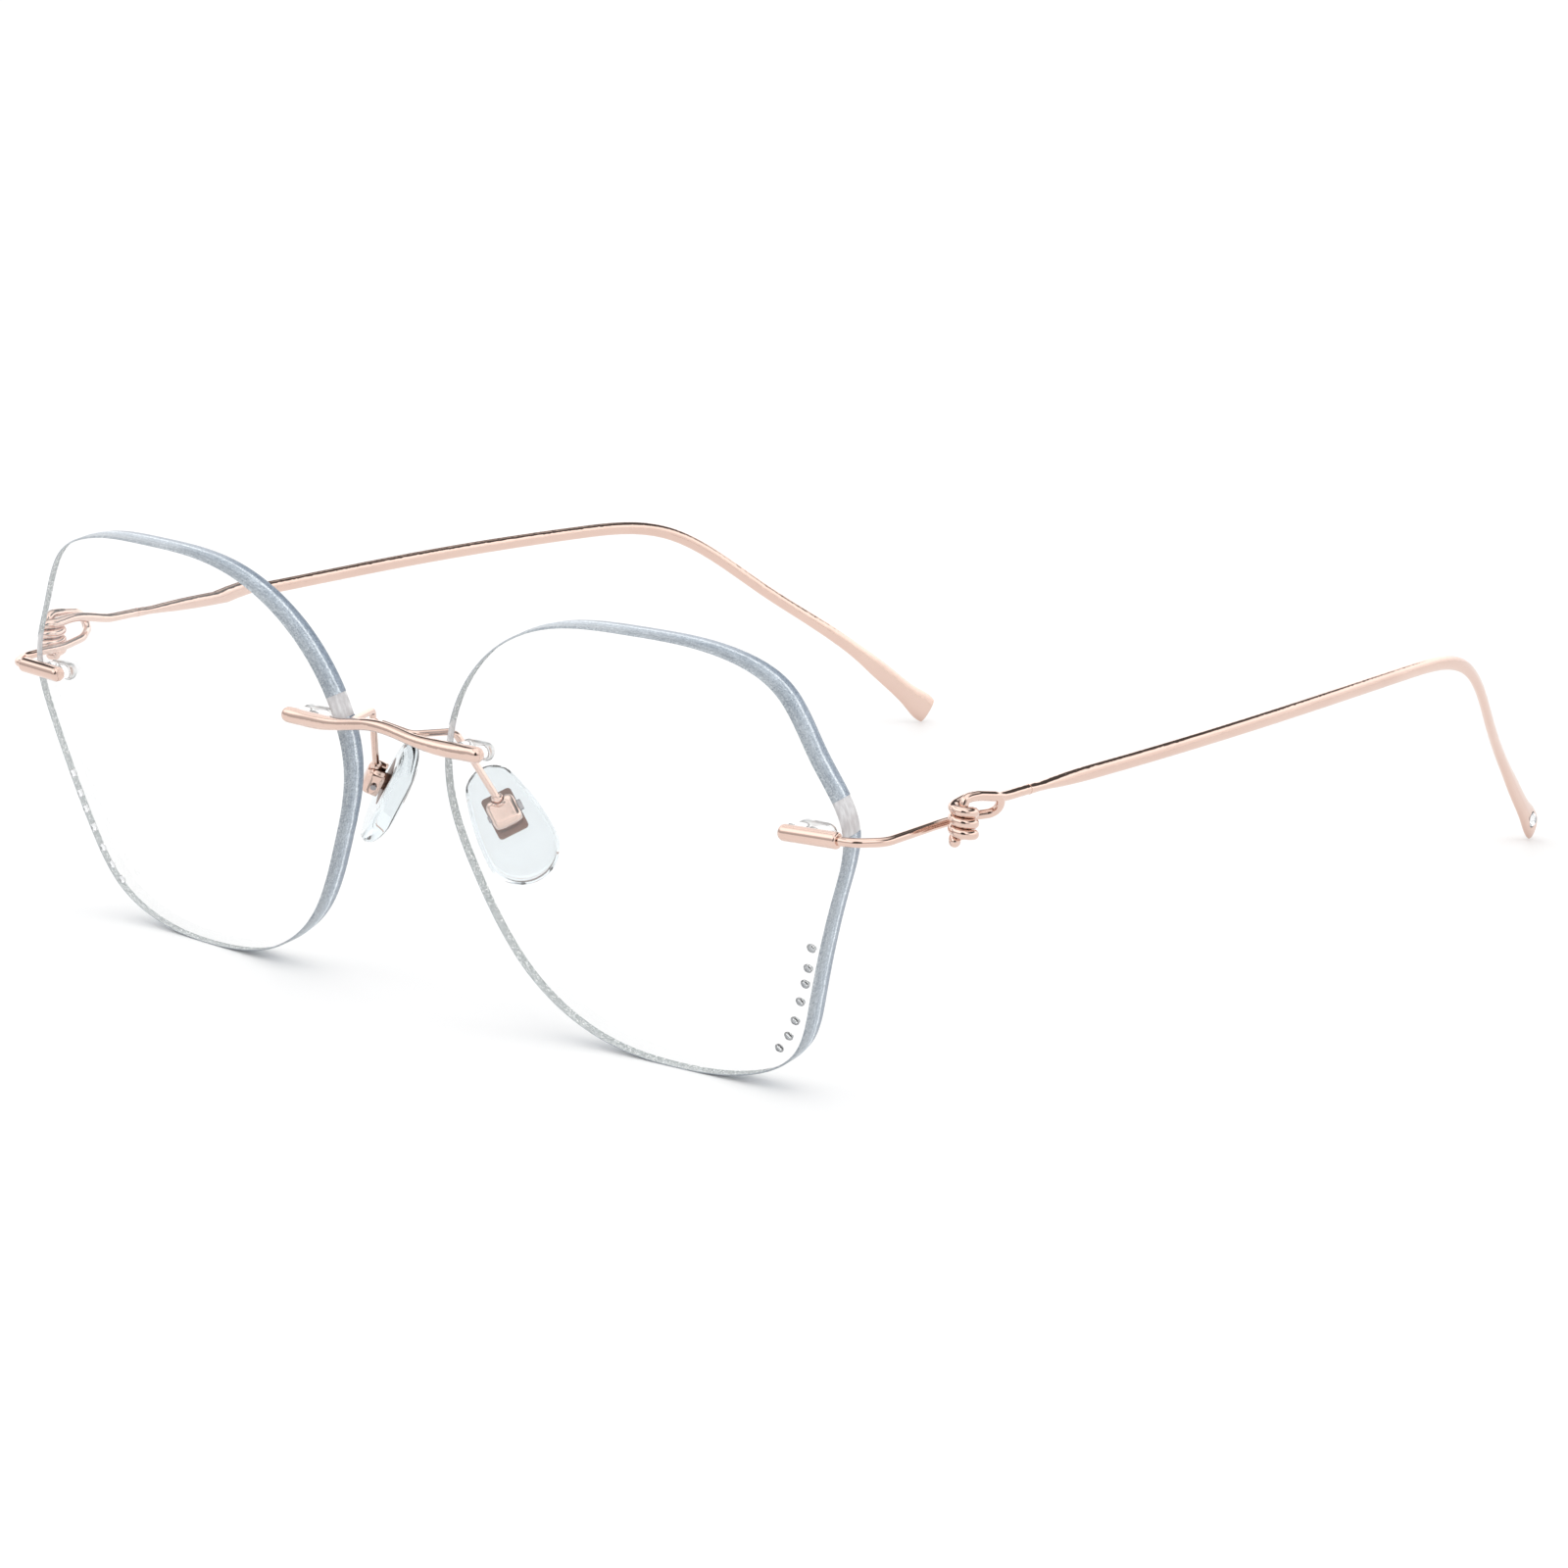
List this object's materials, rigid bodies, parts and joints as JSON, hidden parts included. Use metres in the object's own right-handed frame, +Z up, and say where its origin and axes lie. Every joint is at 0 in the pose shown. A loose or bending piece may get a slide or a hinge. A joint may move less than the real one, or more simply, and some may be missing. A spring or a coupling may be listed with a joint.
{
  "type": "rimless eyeglasses",
  "caption": "Rimless eyeglasses with bevelled lenses, a wire bridge, adjustable nose pads, coil-spring style wire hinges and slim folding metal temples.",
  "frame": {"origin": "middle of the footprint, on the surface that the lens bottoms and temple tips stand on", "axes": "+X to the wearer's left, +Y from the lenses to the temple tips, +Z up"},
  "size_m": [0.1382, 0.1509, 0.0469],
  "materials": {
    "rose_gold": "polished rose gold plating",
    "screw_metal": "polished steel",
    "insert_metal": "rose brown plated plate seen through the clear pad",
    "lens": "clear polished lens with a pale blue and silver painted edge",
    "crystal": "foil backed cut crystal",
    "clear_sleeve": "clear moulded plastic",
    "pad_silicone": "clear soft plastic"
  },
  "bodies": {
    "front": {"bridge": "rose_gold", "lens_left": "lens", "rhinestones_left": "crystal", "bridge_pins_left": "rose_gold", "sleeve_nasal_left": "clear_sleeve", "sleeve_temporal_left": "clear_sleeve", "endpiece_left": "rose_gold", "endpiece_pins_left": "rose_gold", "pad_arm_left": "rose_gold", "pad_box_left": "rose_gold", "pad_screw_left": "screw_metal", "lens_right": "lens", "rhinestones_right": "crystal", "bridge_pins_right": "rose_gold", "sleeve_nasal_right": "clear_sleeve", "sleeve_temporal_right": "clear_sleeve", "endpiece_right": "rose_gold", "endpiece_pins_right": "rose_gold", "pad_arm_right": "rose_gold", "pad_box_right": "rose_gold", "pad_screw_right": "screw_metal"},
    "temple_left": {"temple_left": "rose_gold", "tip_crystal_left": "crystal"},
    "temple_right": {"temple_right": "rose_gold", "tip_crystal_right": "crystal"},
    "nose_pad_left": {"nose_pad_left": "pad_silicone", "pad_insert_left": "insert_metal"},
    "nose_pad_right": {"nose_pad_right": "pad_silicone", "pad_insert_right": "insert_metal"}
  },
  "joints": [
    {"name": "temple_left_fold", "type": "hinge", "parent": "front", "child": "temple_left", "pos_m": [0.0675, -0.0603, 0.03], "axis": [0, 0, 1], "range_deg": [0, 83]},
    {"name": "temple_right_fold", "type": "hinge", "parent": "front", "child": "temple_right", "pos_m": [-0.0675, -0.0603, 0.03], "axis": [0, 0, -1], "range_deg": [0, 76]},
    {"name": "nose_pad_left_rock", "type": "hinge", "parent": "front", "child": "nose_pad_left", "pos_m": [0.01049, -0.06497, 0.0227], "axis": [0.544, 0.7243, 0.4237], "range_deg": [-8, 8]},
    {"name": "nose_pad_right_rock", "type": "hinge", "parent": "front", "child": "nose_pad_right", "pos_m": [-0.01049, -0.06497, 0.0227], "axis": [-0.544, 0.7243, 0.4237], "range_deg": [-8, 8]}
  ]
}
